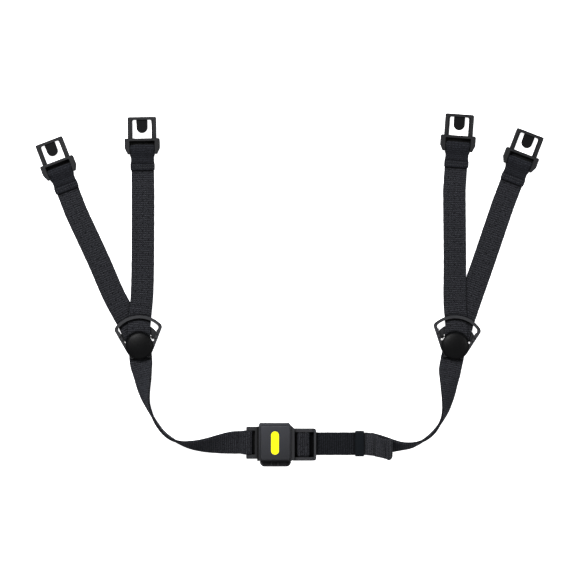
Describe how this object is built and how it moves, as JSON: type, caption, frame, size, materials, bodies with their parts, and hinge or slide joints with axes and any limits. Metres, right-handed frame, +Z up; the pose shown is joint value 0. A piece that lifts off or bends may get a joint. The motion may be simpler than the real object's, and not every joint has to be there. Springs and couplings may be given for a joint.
{
  "type": "helmet chin strap harness",
  "caption": "Y-shaped helmet chin strap: plug-in anchor clips, webbing legs, dividers with lock caps, twisted chin webbing and a magnetic slide buckle.",
  "frame": {"origin": "underside of the buckle, on the table the harness lies on", "axes": "+X across the harness towards the free tail side, +Y from the buckle up the strap legs, +Z up out of the table"},
  "size_m": [0.339, 0.2355, 0.0167],
  "materials": {
    "webbing": "woven, matt",
    "thread": "twisted thread",
    "hardware": "satin moulded",
    "cap": "fine texture",
    "keeper": "smooth",
    "cover": "satin moulded",
    "inlay": "gloss",
    "magnet": "nickel plated",
    "pin": "drawn",
    "spring": "moulded"
  },
  "bodies": {
    "socket": {"buckle_socket": "hardware", "cover_plate": "cover", "cover_inlay": "inlay", "socket_magnet_lower": "magnet", "socket_magnet_upper": "magnet", "adjuster_webbing": "webbing"},
    "tongue": {"buckle_tongue": "hardware", "tongue_base_plate": "hardware", "tongue_magnet_lower": "magnet", "tongue_magnet_upper": "magnet"},
    "latch": {"latch_spring": "spring"},
    "tail": {"tail_webbing": "webbing"},
    "keeper": {"strap_keeper": "keeper"},
    "left_chin": {"left_chin_webbing": "webbing"},
    "left_divider": {"left_divider_frame": "hardware", "left_divider_pin": "pin", "left_front_strap": "webbing", "left_front_stitching": "thread"},
    "left_cap": {"left_lock_cap": "cap"},
    "left_rear": {"left_rear_strap": "webbing", "left_rear_stitching": "thread"},
    "left_front_clip": {"left_front_clip": "hardware"},
    "left_front_latch": {"left_front_clip_tongue": "hardware"},
    "left_rear_clip": {"left_rear_clip": "hardware"},
    "left_rear_latch": {"left_rear_clip_tongue": "hardware"},
    "right_chin": {"right_chin_webbing": "webbing"},
    "right_divider": {"right_divider_frame": "hardware", "right_divider_pin": "pin", "right_front_strap": "webbing", "right_front_stitching": "thread"},
    "right_cap": {"right_lock_cap": "cap"},
    "right_rear": {"right_rear_strap": "webbing", "right_rear_stitching": "thread"},
    "right_front_clip": {"right_front_clip": "hardware"},
    "right_front_latch": {"right_front_clip_tongue": "hardware"},
    "right_rear_clip": {"right_rear_clip": "hardware"},
    "right_rear_latch": {"right_rear_clip_tongue": "hardware"}
  },
  "joints": [
    {"name": "buckle_release", "type": "slide", "parent": "socket", "child": "tongue", "axis": [0, -1, 0], "range_m": [0, 0.026]},
    {"name": "left_strap_swing", "type": "hinge", "parent": "tongue", "child": "left_chin", "pos_m": [-0.01785, 0.0013, 0.003], "axis": [0, 1, 0], "range_deg": [0, 60]},
    {"name": "latch_flex", "type": "hinge", "parent": "socket", "child": "latch", "pos_m": [0.0091, 0.0005, 0.00745], "axis": [0, -1, 0], "range_deg": [0, 12]},
    {"name": "strap_adjust", "type": "slide", "parent": "socket", "child": "right_chin", "axis": [1, 0, 0], "range_m": [0, 0.008]},
    {"name": "tail_feed", "type": "slide", "parent": "socket", "child": "tail", "axis": [-1, 0, 0], "range_m": [0, 0.008]},
    {"name": "keeper_slide", "type": "slide", "parent": "tail", "child": "keeper", "axis": [-1, 0, 0], "range_m": [0, 0.012]},
    {"name": "left_divider_slide", "type": "slide", "parent": "left_chin", "child": "left_divider", "axis": [-0.0785, 0.9969, 0], "range_m": [0, 0.006]},
    {"name": "left_cap_hinge", "type": "hinge", "parent": "left_divider", "child": "left_cap", "pos_m": [-0.0899, 0.05822, 0.0031], "axis": [0.9969, 0.0785, 0], "range_deg": [0, 70]},
    {"name": "left_rear_swing", "type": "hinge", "parent": "left_divider", "child": "left_rear", "pos_m": [-0.0905, 0.0658, 0.0005], "axis": [0, 0, 1], "range_deg": [-10, 1.5]},
    {"name": "left_front_clip_swing", "type": "hinge", "parent": "left_divider", "child": "left_front_clip", "pos_m": [-0.0887, 0.1975, 0.0025], "axis": [0.9999, 0.0157, 0], "range_deg": [0, 75]},
    {"name": "left_front_latch_flex", "type": "hinge", "parent": "left_front_clip", "child": "left_front_latch", "pos_m": [-0.089, 0.2168, 0.0025], "axis": [0.9999, 0.0157, 0], "range_deg": [0, 10]},
    {"name": "left_rear_clip_swing", "type": "hinge", "parent": "left_rear", "child": "left_rear_clip", "pos_m": [-0.14373, 0.18294, 0.0025], "axis": [0.9336, 0.3584, 0], "range_deg": [0, 75]},
    {"name": "left_rear_latch_flex", "type": "hinge", "parent": "left_rear_clip", "child": "left_rear_latch", "pos_m": [-0.15065, 0.20096, 0.0025], "axis": [0.9336, 0.3584, 0], "range_deg": [0, 10]},
    {"name": "right_divider_slide", "type": "slide", "parent": "right_chin", "child": "right_divider", "axis": [0.1305, 0.9914, 0], "range_m": [0, 0.006]},
    {"name": "right_cap_hinge", "type": "hinge", "parent": "right_divider", "child": "right_cap", "pos_m": [0.11891, 0.05826, 0.0031], "axis": [0.9914, -0.1305, 0], "range_deg": [0, 70]},
    {"name": "right_rear_swing", "type": "hinge", "parent": "right_divider", "child": "right_rear", "pos_m": [0.1199, 0.0658, 0.0005], "axis": [0, 0, 1], "range_deg": [-6, 6]},
    {"name": "right_front_clip_swing", "type": "hinge", "parent": "right_divider", "child": "right_front_clip", "pos_m": [0.12172, 0.19942, 0.0025], "axis": [0.9973, -0.0732, 0], "range_deg": [0, 75]},
    {"name": "right_front_latch_flex", "type": "hinge", "parent": "right_front_clip", "child": "right_front_latch", "pos_m": [0.12313, 0.21867, 0.0025], "axis": [0.9973, -0.0732, 0], "range_deg": [0, 10]},
    {"name": "right_rear_clip_swing", "type": "hinge", "parent": "right_rear", "child": "right_rear_clip", "pos_m": [0.16293, 0.18834, 0.0025], "axis": [0.9336, -0.3584, 0], "range_deg": [0, 75]},
    {"name": "right_rear_latch_flex", "type": "hinge", "parent": "right_rear_clip", "child": "right_rear_latch", "pos_m": [0.16985, 0.20636, 0.0025], "axis": [0.9336, -0.3584, 0], "range_deg": [0, 10]}
  ],
  "couplings": [
    {"joint": "tail_feed", "follows": "strap_adjust", "ratio": 1}
  ]
}
